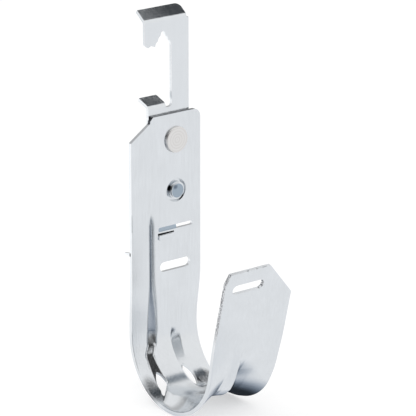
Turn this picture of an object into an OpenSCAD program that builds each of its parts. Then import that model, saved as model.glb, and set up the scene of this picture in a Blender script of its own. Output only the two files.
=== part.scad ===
// J hook cable support: a formed sheet strip with a stepped J bend, riveted to a toothed clip.
// Millimetres, +Z up. The hook opens towards -Y and its strip is as wide as X.
// The origin is the top of the clip's toothed notch, where the support hangs.

/* [Strip] */
// Width of the strip
strip_w = 36; // [32:1:48]
// Thickness of the strip's sheet
strip_t = 1.6; // [1.2:0.1:2]
// Height of the back plate above its strap slot
back_h = 65.5; // [62:0.5:80]
// Width of the cut at the plate's left top corner
top_cut_w = 9.9; // [6:0.1:12]
// Height of that cut
top_cut_h = 9.1; // [5:0.1:12]
// Size of the small nick above that cut
nick = 1.5; // [0.8:0.1:2.5]
// Radius of the plate's right top corner
top_round = 3.5; // [1:0.5:6]

/* [Bend] */
// Inner radius of the loop that the strip's edges follow
loop_r = 25.6; // [23:0.2:34]
// Inner radius of the raised saddle that carries the cables
saddle_r = 22; // [20:0.2:22.6]
// Distance from the strap slot down to the centre of the bend
bend_drop = 27; // [25:0.5:40]
// Distance that the edges swing back behind the plate
edge_back = 1.6; // [0.8:0.1:2.2]
// Amount that each edge draws in round the bend
edge_tuck = 0.8; // [0:0.1:1.5]
// Lean of the lip away from upright, in degrees
lip_lean = 14; // [8:1:20]
// Length of the lip above the end of the bend
lip_len = 51.3; // [42:0.1:60]
// Length along the lip over which the saddle runs out
run_out = 18; // [14:0.5:24]
// Width of the cut at the lip's right corner
lip_cut_w = 13.7; // [8:0.1:16]
// Height of that cut along the lip
lip_cut_h = 15.2; // [8:0.1:18]
// Width of the cut at the lip's left corner
lip_nick_w = 1.8; // [1:0.1:4]
// Height of that cut along the lip
lip_nick_h = 4.6; // [2:0.1:8]

/* [Ribs] */
// Distance from the left edge to the long bead
bead_x = 8.9; // [7:0.1:10]
// Width of the long bead
bead_w = 4.3; // [3:0.1:5]
// Depth of the long bead
bead_d = 1.0; // [0.4:0.1:1.4]
// Height of the bead's upper end above the strap slot
bead_top = 26; // [22:0.5:30]
// Height that the middle band of the bend stands in from the saddle
mid_rise = 1.2; // [0.4:0.1:1.6]
// Height of the lanced ridge beside that band
lance_d = 0.9; // [0.4:0.1:1.4]
// Length of each eye-shaped opening in the steps of the bend
eye_len = 13; // [8:0.5:14]
// Place of the eyes round the bend, in degrees below the back plate
eye_angle = 58; // [50:1:60]

/* [Slots] */
// Length of each strap slot, end to end
slot_len = 16; // [12:0.2:18]
// Height of each strap slot
slot_h = 4.2; // [3:0.1:6]
// Distance from the left edge to the middle of the slot in the back plate
back_slot_x = 22.6; // [20:0.1:23]
// Distance from the left edge to the middle of the slot in the lip
lip_slot_x = 12; // [11:0.1:14]
// Distance from the lip's top edge down to the middle of its slot
lip_slot_drop = 7.7; // [6:0.1:12]
// Length of the narrow slit above the back slot
slit_len = 18; // [12:0.5:19]
// Height of the narrow slit
slit_h = 1.1; // [0.6:0.1:2]
// Height of the slit above the strap slot
slit_z = 16.6; // [16:0.1:18]
// Width of the tongue lanced under the slit
tongue_w = 8.4; // [6:0.1:10]
// Height of that tongue
tongue_h = 2.2; // [1.5:0.1:2.4]
// Lean of the tongue behind the plate, in degrees
tongue_lean = 20; // [5:1:35]
// Reach of the barb behind the plate
barb_reach = 3.6; // [2:0.1:5]
// Thickness of the barb
barb_t = 1; // [0.6:0.1:1.4]

/* [Clip] */
// Thickness of the clip's sheet
clip_t = 1.5; // [1:0.1:2]
// Width of the clip's lower plate
clip_w = 20.9; // [16:0.1:24]
// Distance from the strip's left edge to the clip's right edge
clip_right = 31.2; // [28:0.1:34]
// Width of the clip's post
post_w = 8.8; // [7:0.1:10]
// Height of the mouth between the lower tab and the notch's top
mouth_h = 31; // [26:0.5:40]
// Height of the jaw's plate above the notch
jaw_top = 5; // [4:0.1:8]
// Length of the jaw's left tooth below the notch's top
jaw_depth = 6.2; // [4.5:0.1:8]
// Distance from the strip's left edge to the jaw's left edge
jaw_x = 8.8; // [6:0.1:10]
// Half width of the toothed notch at its foot
notch_half = 4.1; // [3:0.1:4.2]
// Steps on each flank of the notch
notch_steps = 3; // [2:1:5]
// Reach of the upper flange behind the clip
flange_reach = 5.3; // [3:0.1:8]
// Rise of the upper flange
flange_rise = 3.9; // [2:0.1:6]
// Reach of the lower tab behind the clip
tab_reach = 6.5; // [4:0.1:8]
// Rise of the lower tab
tab_rise = 2.4; // [1:0.1:4]
// Width of the lower tab
tab_w = 9; // [6:0.1:10]
// Height of the lower tab's bend above the strip's top edge
tab_lift = 4.3; // [3:0.1:8]
// Size of the small teeth at the jaw's left end
jaw_nib = 1.5; // [0.8:0.1:1.8]
// Radius of the upper flange's free corner
flange_round = 2.5; // [1:0.1:3]
// Radius where the post meets the lower plate
mouth_round = 1.2; // [0.6:0.1:2]
// Radius of the clip's lower corners
tail_round = 4; // [2:0.5:6]
// Inner radius of the clip's bends
clip_bend = 0.8; // [0.4:0.1:1.2]
// Distance from the strip's top edge down to the clip's lower end
tail_drop = 41; // [39:0.5:45]

/* [Fixings] */
// Radius of the rivet's head
rivet_r = 5.6; // [4.5:0.1:7]
// Height of the rivet's head
rivet_h = 1; // [0.6:0.1:1.6]
// Radius of the rivet's shank
shank_r = 3; // [2:0.1:3.5]
// Distance from the strip's left edge to the rivet and the stud
fix_x = 23.2; // [20:0.1:24]
// Distance from the strip's top edge down to the rivet
rivet_drop = 11.3; // [9:0.1:14]
// Distance from the rivet down to the stud
stud_pitch = 21.9; // [20:0.1:23]
// Radius of the stud
stud_r = 3.8; // [3:0.1:4.4]
// Height of the stud in front of the strip
stud_proud = 1.1; // [0.4:0.1:2]
// Size of the step round the stud's end
stud_edge = 0.6; // [0.3:0.1:1]
// Radius of the hole that the stud stands in
stud_hole_r = 5; // [4.6:0.1:6]

/* [Hidden] */

// Clearance of the rivet in its holes
fit = 0.05;
// How far a cut runs past the surface that it leaves
over = 1;
// Flats round each of the clip's bends
bend_steps = 6;
zinc = [0.84, 0.86, 0.88];
pale_zinc = [0.88, 0.9, 0.92];
rivet_zinc = [0.8, 0.8, 0.8];

// Turn of the edges' loop and of the saddle, from the back plate round to the lip
edge_turn = 180 - lip_lean;
centre_z = -bend_drop;
edge_y = edge_back - loop_r;
saddle_y = -saddle_r;
// Unit vector up the lip, as [y, z]
up_lip = [-sin(lip_lean), cos(lip_lean)];
lip_foot = loop_point(edge_y, loop_r, edge_turn);
// Point where the saddle meets the lip
meet = lip_foot + run_out * up_lip;
to_meet = meet - [saddle_y, centre_z];
saddle_turn = 360 + atan2(-to_meet[1], to_meet[0]) - acos(saddle_r / norm(to_meet));
saddle_foot = loop_point(saddle_y, saddle_r, saddle_turn);
// Top of the notch above the strap slot, and the middle of the clip's sheet
notch_z = back_h + tab_lift + mouth_h;
jaw_z = notch_z + jaw_top;
tab_z = back_h + tab_lift;
bend_top = -3;

function loop_point(y, r, a) = [y + r * cos(a), centre_z - r * sin(a)];
function mix(a, b, s) = a + (b - a) * s;
function ease(s) = let (c = max(0, min(1, s))) c * c * (3 - 2 * c);
function turn90(v) = [-v[1], v[0]] / norm(v);

// A station along the strip runs from -40 at the top of the bend to 0 where the loop starts,
// on to 160 at the loop's end and 200 where the saddle has run out on the lip.
function path(q, off, y, r, turn, foot) = let (last = 160 * turn / edge_turn)
    q < 0 ? [off * ease((q + 40) / 40), mix(centre_z, bend_top, -q / 40)]
    : q <= last ? loop_point(y, r, edge_turn * q / 160)
    : mix(foot, meet, (q - last) / (200 - last));
function edge_at(q) = path(q, edge_back, edge_y, loop_r, edge_turn, lip_foot);
function saddle_at(q) = path(q, 0, saddle_y, saddle_r, saddle_turn, saddle_foot);
function out_of(p0, p1) = turn90(p1 - p0);
function edge_out(q) =
    q <= -40 ? [1, 0] : q >= 200 ? turn90(up_lip) : out_of(edge_at(q - 0.5), edge_at(q + 0.5));
function saddle_out(q) =
    q <= -40 ? [1, 0] : q >= 200 ? turn90(up_lip) : out_of(saddle_at(q - 0.5), saddle_at(q + 0.5));

// Shares of the width, from the left edge, by station: where the outer band ends, where the step or
// flare beside it ends, and where a ridge starts, peaks and drops. The ridge on the right is the
// ridge on the left turned end for end, so it reads the same tables at 160 less the station.
band_side = [[-40, bead_x / strip_w], [0, 0.24], [14, 0.22], [22, 0.16], [58, 0.15], [72, 0.04],
    [84, 0.015], [200, 0.015]];
step_side = [[-40, (bead_x + bead_w) / strip_w], [0, 0.37], [14, 0.33], [24, 0.25], [60, 0.24],
    [72, 0.14], [84, 0.15], [100, 0.24], [150, 0.24], [170, 0.28], [200, 0.28]];
foot_side = [[-40, 0.44], [0, 0.43], [24, 0.33], [72, 0.3], [92, 0.32], [160, 0.3], [200, 0.3]];
peak_side = [[-40, 0.48], [24, 0.42], [92, 0.44], [150, 0.435], [200, 0.41]];
peak_w = 0.018;
// How far the ridge's side of the lip lies towards the saddle
lip_side = [[-40, 1], [124, 1], [144, 0.5], [160, 0.4], [180, 0.35], [200, 0]];
// Share of the width over which the right side falls from the saddle to the edges' loop, and how
// far its edge draws in under the bend
far_columns = [0.26, 0.21, 0.14, 0.07, 0.03, 0];
fall_side = [[-40, 0.26], [72, 0.26], [100, 0.28], [130, 0.34], [160, 0.45], [200, 0.5]];
far_tuck = 0.15;
function band(q) = lookup(q, band_side);
function step(q) = lookup(q, step_side);
function foot(q) = lookup(q, foot_side);
function peak(q) = lookup(q, peak_side);
function on_lip(q) = lookup(q, lip_side);
function fall(c, q) = let (t = far_tuck * ease((q - 80) / 20) * ease((170 - q) / 20))
    mix(t, 1, min(1, c / lookup(q, fall_side)));

// How far the middle band stands in from the saddle, and how far the lanced ridges stand out
function rise(q) = -mid_rise * ease(q / 45) * ease((190 - q) / 50);
function ridge_back(q) = lance_d * ease(q / 4) * ease((92 - q) / 24);
function ridge_lip(q) = lance_d * ease((q - 70) / 24) * ease((202 - q) / 60);
function round_to_lip(q) = ease((q - 72) / 16);
function out_to_lip(q) = ease((q - 104) / 32);
function bead(q) = bead_d * ease((12 - q) / 24);
function tuck(q) = edge_tuck * ease((q + 40) / 40) * ease((200 - q) / 40);

// Width of an eye at a station, as a share of the step that it opens
eye_mid = eye_angle * 160 / edge_turn;
eye_half = eye_len / 2 / loop_r * 180 / PI * 160 / edge_turn;
function eye(q) = max(0.1, 1 - pow((q - eye_mid) / eye_half, 2));
function near_eye(q) = abs(q - eye_mid) < eye_half * 1.4;

// Half a section from the left edge in: [share of the width, share of the way from the edges'
// loop to the saddle, distance out from there]
function left_half(q) = let (a = band(q), b = step(q), m = round_to_lip(q), g = eye(q) * 0.46,
        f0 = near_eye(q) ? 0.5 - g : 0.2, f1 = near_eye(q) ? 0.5 + g : 0.6,
        in = rise(q) * (1 - out_to_lip(q)), w = on_lip(q)) [
    [0, 0, 0],
    [a / 2, 0, 0],
    [a, 0, 0],
    [mix(a, b, f0), w * mix(ease(f0), f0, m), bead(q) + in * ease(f0)],
    [mix(a, b, f1), w * mix(ease(f1), f1, m), bead(q) * (1 - f1) / 0.8 + in * ease(f1)],
    [b, w, in],
    [foot(q), w, in],
    [peak(q), w, mix(rise(q), ridge_lip(q), out_to_lip(q))],
    [peak(q) + peak_w, 1, rise(q)]];
function right_half(q) = let (r = 160 - q, g = eye(q), m = round_to_lip(r), in = rise(q) * (1 - m),
        v = ridge_back(q), mid = (foot(r) + peak(r)) / 2, near = near_eye(q),
        c1 = near ? mix(mid, peak(r) + peak_w * 0.5, g) : peak(r), c2 = near ? mix(mid, foot(r), g) : foot(r)) [
    [1 - peak(r) - peak_w, fall(peak(r), q), rise(q)],
    [1 - c1, fall(c1, q), near ? mix(v * 0.6, rise(q), g) : mix(rise(q), v, m)],
    [1 - c2, fall(c2, q), near ? mix(v * 0.6, 0, g) : in],
    for (c = far_columns) [1 - c, fall(c, q), in * min(1, c / 0.26)]];
function columns(q) = concat(left_half(q), [[0.5 + (peak(q) - peak(160 - q)) / 2, 1, rise(q)]], right_half(q));
function section(q, face) = [for (c = columns(q))
    let (x = mix(tuck(q), strip_w - tuck(q), c[0]),
        e = edge_at(q) + face * strip_t * edge_out(q),
        s = saddle_at(q) + face * strip_t * saddle_out(q),
        p = mix(e, s, c[1]) + c[2] * mix(edge_out(q), saddle_out(q), c[1]))
    [x, p[0], p[1]]];

// The flat back plate above the bend, with the bead fading out at its top
function plate_section(z, depth, face) = [for (c = columns(-40))
    [c[0] * strip_w, face * strip_t + depth * c[2] / bead_d, z]];
// The flat lip above the bend
function lip_section(s, face) =
    let (p = meet + s * up_lip + face * strip_t * edge_out(200))
    [for (c = columns(200)) [c[0] * strip_w, p[0], p[1]]];

// Rows above the first station, stations up to the loop, and from there to an eye, along and past it
head_rows = 8;
fade_rows = 5;
straight_rows = 10;
to_eye = 10;
along_eye = 10;
past_eye = 22;
stations = concat(
    [for (i = [1 - straight_rows:-1]) i * 40 / straight_rows],
    [for (i = [0:to_eye - 1]) mix(0, eye_mid - eye_half, i / to_eye)],
    [for (i = [0:along_eye - 1]) mix(eye_mid - eye_half, eye_mid + eye_half, i / along_eye)],
    [for (i = [0:past_eye - 1]) mix(eye_mid + eye_half, 160, i / past_eye)],
    [for (i = [0:straight_rows - 1]) 160 + i * 40 / straight_rows]);
function strip_rows(face) = concat(
    [plate_section(back_h, 0, face)],
    [for (i = [0:fade_rows]) plate_section(bead_top - i * 1.6, bead_d * ease(i / fade_rows), face)],
    [plate_section(bend_top, bead_d, face)],
    [for (q = stations) section(q, face)],
    [lip_section(0, face), lip_section(lip_len - run_out, face)]);
eye_row = head_rows + straight_rows - 1 + to_eye;
// Openings in the skin: first row, last row and the column on their left
eyes = [[eye_row, eye_row + along_eye, 3], [eye_row, eye_row + along_eye, 11]];

// Closes two stacks of rows, outside and inside, into one skin that is open at the gaps
module skin(outer, inner, gaps) {
    rows = len(outer);
    n = len(outer[0]);
    back = rows * n;
    function in_gap(i, j) = max([for (g = gaps) i >= g[0] && i < g[1] && j == g[2] ? 1 : 0]) == 1;
    function left_wall(i, j) = let (a = i * n + j, b = a + back) [[a, b, b + n], [a, b + n, a + n]];
    function right_wall(i, j) = let (a = i * n + j, b = a + back) [[a, b + n, b], [a, a + n, b + n]];
    function top_wall(i, j) = let (a = i * n + j, b = a + back) [[a, a + 1, b + 1], [a, b + 1, b]];
    function low_wall(i, j) = let (a = i * n + j, b = a + back) [[a, b + 1, a + 1], [a, b, b + 1]];
    points = concat([for (r = outer) each r], [for (r = inner) each r]);
    faces = concat(
        [for (i = [0:rows - 2], j = [0:n - 2]) if (!in_gap(i, j)) let (a = i * n + j, b = a + back) each
            [[a, a + n, a + n + 1], [a, a + n + 1, a + 1], [b, b + n + 1, b + n], [b, b + 1, b + n + 1]]],
        [for (i = [0:rows - 2]) each concat(left_wall(i, 0), right_wall(i, n - 1))],
        [for (j = [0:n - 2]) each concat(top_wall(0, j), low_wall(rows - 1, j))],
        [for (g = gaps, i = [g[0]:g[1] - 1]) each concat(right_wall(i, g[2]), left_wall(i, g[2] + 1))],
        [for (g = gaps) each concat(low_wall(g[0], g[2]), top_wall(g[1], g[2]))]);
    polyhedron(points, faces, convexity = 8);
}

// Turns a shape drawn in X and Z into a slab from y0 to y1
module slab(y0, y1) {
    translate([0, y1, 0]) rotate([90, 0, 0]) linear_extrude(y1 - y0) children();
}

module stadium(len, h) {
    square([len - h, h], center = true);
    for (s = [-1, 1]) translate([s * (len - h) / 2, 0]) circle(d = h, $fn = 48);
}

module to_part() {
    translate([-strip_w / 2, -strip_t - clip_t / 2, -notch_z]) children();
}

module top_corners() {
    polygon([[-over, back_h - top_cut_h - over], [-over, back_h + over], [top_cut_w + nick, back_h + over],
        [top_cut_w + nick, back_h], [top_cut_w, back_h - nick], [top_cut_w, back_h - nick * 1.6],
        [0, back_h - top_cut_h]]);
    translate([strip_w - top_round, back_h - top_round]) difference() {
        square(top_round + over);
        circle(top_round, $fn = 48);
    }
}

module lip_corners() {
    polygon([[strip_w - lip_cut_w - over * lip_cut_w / lip_cut_h, over], [strip_w + over, over],
        [strip_w + over, -lip_cut_h - over * lip_cut_h / lip_cut_w]]);
    polygon([[-over, over], [lip_nick_w + over * lip_nick_w / lip_nick_h, over],
        [-over, -lip_nick_h - over * lip_nick_h / lip_nick_w]]);
}

// Things drawn flat with Y up the lip and its top edge at zero, cut through the lip
module through_lip() {
    top = meet + (lip_len - run_out) * up_lip;
    translate([0, top[0], top[1]]) rotate([90 + lip_lean, 0, 0])
        translate([0, 0, -strip_t * 2]) linear_extrude(strip_t * 4) children();
}

// The tongue stands in a window as high as itself and a gap, hinged along the window's foot
window_gap = 0.6;
window_x = back_slot_x - slit_len / 2;
window_z = slit_z - slit_h / 2 - 1.4 - tongue_h;
module tongue() {
    translate([window_x + window_gap, 0, window_z]) rotate([-tongue_lean, 0, 0])
        translate([0, 0, -strip_t / 2]) cube([tongue_w - window_gap * 2, strip_t * 0.8, tongue_h + strip_t / 2]);
}

module barb() {
    translate([0, strip_t * 0.5, slot_h * 2]) rotate([0, 90, 0]) linear_extrude(barb_t)
        polygon([[-0.9, 0], [0.9, 0], [0.4, barb_reach + strip_t * 0.5], [-0.1, barb_reach + strip_t * 0.5]]);
}

module hook_strip() {
    color(pale_zinc) to_part() {
        difference() {
            skin(strip_rows(1), strip_rows(0), eyes);
            slab(-over, strip_t + over) {
                top_corners();
                translate([back_slot_x, 0]) stadium(slot_len, slot_h);
                translate([back_slot_x, slit_z]) stadium(slit_len, slit_h);
                translate([window_x, window_z]) square([tongue_w, tongue_h + window_gap]);
                translate([fix_x, back_h - rivet_drop]) circle(shank_r + fit, $fn = 64);
                translate([fix_x, back_h - rivet_drop - stud_pitch]) circle(stud_hole_r, $fn = 64);
            }
            through_lip() {
                lip_corners();
                translate([lip_slot_x, -lip_slot_drop]) stadium(slot_len, slot_h);
            }
        }
        tongue();
        barb();
    }
}

// One flank of the notch: the steps climb from its foot to its top
function flank(side) = let (n = notch_steps, run = notch_half / n, rise = jaw_depth / n)
    [for (i = [0:n - 1], p = [[0, 0], [0.35 * run, 0.7 * rise]])
        [strip_w / 2 - side * (notch_half - i * run - p[0]), notch_z - jaw_depth + i * rise + p[1]]];
function reversed(list) = [for (i = [len(list) - 1:-1:0]) list[i]];

// Length of sheet that a bend takes up on each side of its corner
function setback(turn) = (clip_bend + clip_t) * tan(turn / 2);
function fold_turn(reach, rise) = 90 - atan2(rise, reach);
flange_turn = fold_turn(flange_reach, flange_rise);
tab_turn = fold_turn(tab_reach, tab_rise);
plate_top = tab_z - setback(tab_turn);

module clip_outline() {
    left = clip_right - clip_w;
    post = clip_right - post_w;
    tail = back_h - tail_drop;
    jaw_end = jaw_z - setback(flange_turn);
    difference() {
        union() {
            translate([left, tail]) square([clip_w, plate_top - tail]);
            translate([post, tail]) square([post_w, jaw_end - tail]);
            translate([jaw_x, notch_z - jaw_depth]) square([clip_right - jaw_x, jaw_end - notch_z + jaw_depth]);
            translate([post - mouth_round, plate_top - over]) difference() {
                square([mouth_round + over, mouth_round + over]);
                translate([0, mouth_round + over]) circle(mouth_round, $fn = 48);
            }
        }
        polygon(concat([[strip_w / 2 - notch_half, notch_z - jaw_depth - over]], flank(1),
            [[strip_w / 2, notch_z]], reversed(flank(-1)),
            [[strip_w / 2 + notch_half, notch_z - jaw_depth - over]]));
        translate([jaw_x - over, notch_z - jaw_depth - over]) polygon([[0, 0], [over + jaw_nib, 0],
            [over + jaw_nib, over], [over, over + jaw_nib * 0.9], [0, over + jaw_nib * 0.9]]);
        translate([jaw_x + jaw_nib * 1.1, notch_z - jaw_depth]) polygon([[0, -0.01], [jaw_nib, jaw_nib * 0.5],
            [strip_w / 2 - notch_half - jaw_x - jaw_nib * 1.3, -0.01]]);
        translate([fix_x, back_h - rivet_drop]) circle(shank_r + fit, $fn = 64);
        for (s = [0, 1]) translate([s == 0 ? left : clip_right, tail]) rotate(s * 90) difference() {
            translate([-over, -over]) square(tail_round + over);
            translate([tail_round, tail_round]) circle(tail_round, $fn = 48);
        }
    }
}

// Profile of a bend that starts at Y = 0: X is the depth behind the clip's front face
function arc_points(r, turn) = [for (i = [0:bend_steps])
    let (a = turn * i / bend_steps) [clip_bend + clip_t - r * cos(a), r * sin(a)]];
module fold_profile(turn, flat) {
    along = flat * [sin(turn), cos(turn)];
    outer = arc_points(clip_bend + clip_t, turn);
    inner = arc_points(clip_bend, turn);
    polygon(concat([[0, -over]], outer, [outer[bend_steps] + along, inner[bend_steps] + along],
        reversed(inner), [[clip_t, -over]]));
}

// Sheet that turns back and up at height z, from x0 to x1, with its free right corner cut round
module fold(x0, x1, z, reach, rise, corner) {
    turn = fold_turn(reach, rise);
    r = clip_bend + clip_t;
    flat = norm([reach, rise]) - setback(turn);
    translate([x0, strip_t, z - setback(turn)]) difference() {
        rotate([90, 0, 90]) linear_extrude(x1 - x0) fold_profile(turn, flat);
        translate([0, r, 0]) rotate([-turn, 0, 0]) slab(-r - over, over - clip_bend)
            translate([x1 - x0 - corner, flat - corner]) difference() {
                square(corner + over);
                circle(corner, $fn = 48);
            }
    }
}

module rod_clip() {
    left = clip_right - clip_w;
    color(zinc) to_part() {
        slab(strip_t, strip_t + clip_t) clip_outline();
        fold(jaw_x, clip_right - 1, jaw_z, flange_reach, flange_rise, flange_round);
        fold(left, left + tab_w, tab_z, tab_reach, tab_rise, 0.6);
        translate([fix_x, strip_t + clip_t / 2, back_h - rivet_drop - stud_pitch]) rotate([90, 0, 0]) {
            cylinder(r = stud_r, h = clip_t / 2 + strip_t + stud_proud - stud_edge, $fn = 64);
            cylinder(r = stud_r - stud_edge, h = clip_t / 2 + strip_t + stud_proud, $fn = 64);
        }
    }
}

module rivet() {
    grip = strip_t + clip_t;
    bevel = rivet_h * 0.3;
    color(rivet_zinc) to_part() translate([fix_x, 0, back_h - rivet_drop]) rotate([-90, 0, 0])
        rotate_extrude($fn = 96) polygon([[0, -rivet_h], [rivet_r - bevel, -rivet_h], [rivet_r, -rivet_h + bevel],
            [rivet_r, 0], [shank_r, 0], [shank_r, grip], [rivet_r * 0.85, grip],
            [rivet_r * 0.85, grip + rivet_h - bevel], [rivet_r * 0.85 - bevel, grip + rivet_h], [0, grip + rivet_h]]);
}

hook_strip();
rod_clip();
rivet();
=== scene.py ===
"""Looks of the J hook cable support: a formed zinc-plated strip, its toothed rod clip and the rivet."""
import logging
import math
from dataclasses import dataclass, field
from enum import Enum
from functools import reduce
from typing import Callable, Sequence

import bpy
import numpy as np
from mathutils import Matrix, Vector


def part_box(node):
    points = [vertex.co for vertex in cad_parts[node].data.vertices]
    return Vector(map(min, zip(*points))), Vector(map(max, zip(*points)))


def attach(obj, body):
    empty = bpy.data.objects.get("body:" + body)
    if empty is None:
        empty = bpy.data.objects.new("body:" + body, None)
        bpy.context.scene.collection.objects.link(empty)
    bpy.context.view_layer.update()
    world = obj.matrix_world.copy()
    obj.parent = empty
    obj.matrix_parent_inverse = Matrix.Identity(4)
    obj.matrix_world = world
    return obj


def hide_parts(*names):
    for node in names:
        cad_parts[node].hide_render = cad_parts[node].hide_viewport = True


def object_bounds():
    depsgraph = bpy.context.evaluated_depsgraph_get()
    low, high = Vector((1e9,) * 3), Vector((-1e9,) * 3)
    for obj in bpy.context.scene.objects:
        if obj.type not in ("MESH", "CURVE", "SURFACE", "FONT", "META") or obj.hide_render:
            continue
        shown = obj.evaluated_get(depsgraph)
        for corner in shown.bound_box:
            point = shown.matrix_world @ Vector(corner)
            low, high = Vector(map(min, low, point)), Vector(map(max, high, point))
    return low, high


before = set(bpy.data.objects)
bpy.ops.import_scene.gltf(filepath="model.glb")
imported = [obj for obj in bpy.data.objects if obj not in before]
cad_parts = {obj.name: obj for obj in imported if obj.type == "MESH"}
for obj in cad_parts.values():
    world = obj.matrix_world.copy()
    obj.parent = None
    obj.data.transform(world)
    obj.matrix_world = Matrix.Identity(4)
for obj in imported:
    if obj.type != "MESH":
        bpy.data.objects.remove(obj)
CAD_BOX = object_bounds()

LOG = logging.getLogger("j_hook")
MM = 0.001
Point = tuple[float, float]
Colour = tuple[float, ...]
Socket = bpy.types.NodeSocket
Inputs = dict[str | int, Socket | Sequence[float] | float]

WELD_DISTANCE = 2e-6
FLAT_ANGLE = 0.8
NOISE_RANGE = (0.3, 0.7)
NOISE_ROUGHNESS = 0.6
WAVE_DEPTH = 0.0004
STREAK_DEPTH = 0.00006
SPECK_DEPTH = 0.0001
WHITE = (1.0, 1.0, 1.0, 1.0)


class Body(Enum):
    """The bodies that pieces ride on."""

    ROOT = "root"


class Node(Enum):
    """The nodes of the CAD model."""

    HOOK_STRIP = "hook_strip"
    ROD_CLIP = "rod_clip"
    RIVET = "rivet"


class Grain(Enum):
    """The direction in which a sheet was rolled, as the stretch of its grain along X, Y and Z."""

    ALONG_Z = (1.0, 1.0, 0.09)
    EVEN = (1.0, 1.0, 1.0)


# ---------------------------------------------------------------- small tools


def clear_selection() -> None:
    """Leave edit mode and deselect every object."""
    if bpy.context.object is not None and bpy.context.object.mode != "OBJECT":
        bpy.ops.object.mode_set(mode="OBJECT")
    bpy.ops.object.select_all(action="DESELECT")


def activate(piece: bpy.types.Object) -> None:
    """Make one object the only selected and the active one.

    Args:
        piece: The object to work on.
    """
    clear_selection()
    piece.select_set(True)
    bpy.context.view_layer.objects.active = piece


def apply_modifiers(piece: bpy.types.Object) -> None:
    """Apply every modifier of a piece, in order.

    Args:
        piece: The object whose modifiers are applied.
    """
    activate(piece)
    for modifier in list(piece.modifiers):
        bpy.ops.object.modifier_apply(modifier=modifier.name)


def smooth(piece: bpy.types.Object, angle: float) -> None:
    """Shade a piece smooth, with edges sharper than an angle left sharp.

    Args:
        piece: The object to shade.
        angle: The sharpest smooth edge, in degrees.
    """
    activate(piece)
    bpy.ops.object.shade_smooth_by_angle(angle=math.radians(angle))
    even = piece.modifiers.new("even_normals", "WEIGHTED_NORMAL")
    even.mode = "FACE_AREA"
    even.weight = 50
    even.keep_sharp = True
    apply_modifiers(piece)


def soften_edges(piece: bpy.types.Object, width: float, angle: float, segments: int = 2) -> None:
    """Round the sharp edges of a piece with a narrow bevel.

    Args:
        piece: The object to bevel.
        width: The width of the bevel, in metres.
        angle: The angle from which an edge is bevelled, in degrees.
        segments: The faces across the bevel.
    """
    bevel = piece.modifiers.new("soft_edges", "BEVEL")
    bevel.width = width
    bevel.segments = segments
    bevel.limit_method = "ANGLE"
    bevel.angle_limit = math.radians(angle)
    bevel.use_clamp_overlap = True
    apply_modifiers(piece)


def edit(piece: bpy.types.Object, *steps: Callable[[], object]) -> None:
    """Carry out steps in edit mode, each on the whole mesh.

    Args:
        piece: The object to edit.
        steps: What is done, in order.
    """
    activate(piece)
    bpy.ops.object.mode_set(mode="EDIT")
    for step in steps:
        bpy.ops.mesh.select_all(action="SELECT")
        step()
    bpy.ops.object.mode_set(mode="OBJECT")


def turn_out() -> None:
    """Turn the faces of the mesh in edit mode outwards."""
    bpy.ops.mesh.normals_make_consistent(inside=False)


def weld(piece: bpy.types.Object) -> None:
    """Merge the doubles of a mesh and dissolve the edges that cross its flat faces."""
    edit(piece, lambda: bpy.ops.mesh.remove_doubles(threshold=WELD_DISTANCE),
         lambda: bpy.ops.mesh.dissolve_limited(angle_limit=math.radians(FLAT_ANGLE)))


def prism(name: str, outline: Sequence[Point], near: float, far: float, place: Matrix) -> bpy.types.Object:
    """Model a straight prism from an outline.

    Args:
        name: The name of the new object.
        outline: The corners in the plane of the outline, in order.
        near: The height of the first end.
        far: The height of the other end.
        place: The matrix that carries the outline's plane into the part's frame.

    Returns:
        The prism, with its place in its mesh.
    """
    clear_selection()
    bpy.ops.mesh.primitive_circle_add(vertices=len(outline), radius=1, fill_type="NGON")
    piece = bpy.context.object
    piece.name = name
    for vertex, corner in zip(piece.data.vertices, outline):
        vertex.co = (corner[0], corner[1], near)
    lift = {"value": (0, 0, far - near)}
    edit(piece, lambda: bpy.ops.mesh.extrude_region_move(TRANSFORM_OT_translate=lift), turn_out)
    piece.data.transform(place)
    if place.to_3x3().determinant() < 0:
        piece.data.flip_normals()
    return piece


def round_outline(centre: Point, radius: float, half: float = 0.0, steps: int = 64) -> list[Point]:
    """Outline a circle, or a slot with round ends.

    Args:
        centre: The middle of the shape.
        radius: The radius of its ends.
        half: Half the distance between the centres of its ends.
        steps: The corners round the outline.

    Returns:
        The corners of the outline, in order.
    """
    corners = []
    for i in range(steps):
        a = 2 * math.pi * (i + 0.5) / steps
        shift = half if math.cos(a) > 0 else -half
        corners.append((centre[0] + shift + radius * math.cos(a), centre[1] + radius * math.sin(a)))
    return corners


def join(pieces: Sequence[bpy.types.Object], name: str) -> bpy.types.Object:
    """Join objects into one.

    Args:
        pieces: The objects to join.
        name: The name of the result.

    Returns:
        The joined object.
    """
    clear_selection()
    for piece in pieces:
        piece.select_set(True)
    bpy.context.view_layer.objects.active = pieces[0]
    bpy.ops.object.join()
    pieces[0].name = name
    return pieces[0]


def copy_of(node: Node, name: str) -> bpy.types.Object:
    """Copy a CAD node's mesh into a new object.

    Args:
        node: The node to copy.
        name: The name of the copy.

    Returns:
        The copy, with a mesh of its own.
    """
    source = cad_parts[node.value]
    piece = bpy.data.objects.new(name, source.data.copy())
    piece.data.materials.clear()
    bpy.context.scene.collection.objects.link(piece)
    return piece


def rivet_axis() -> Point:
    """Give X and Z of the rivet's axis."""
    low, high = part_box(Node.RIVET.value)
    return (low[0] + high[0]) / 2, (low[2] + high[2]) / 2


def dress(piece: bpy.types.Object, material: bpy.types.Material, node: Node) -> None:
    """Give a piece its finish and its body, and hide the CAD node that it stands for.

    Args:
        piece: The object to dress.
        material: Its finish.
        node: The node whose CAD part is hidden.
    """
    piece.data.materials.clear()
    piece.data.materials.append(material)
    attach(piece, Body.ROOT.value)
    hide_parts(node.value)
    LOG.info("%s: %d faces", piece.name, len(piece.data.polygons))


# ---------------------------------------------------------------- shading


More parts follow.
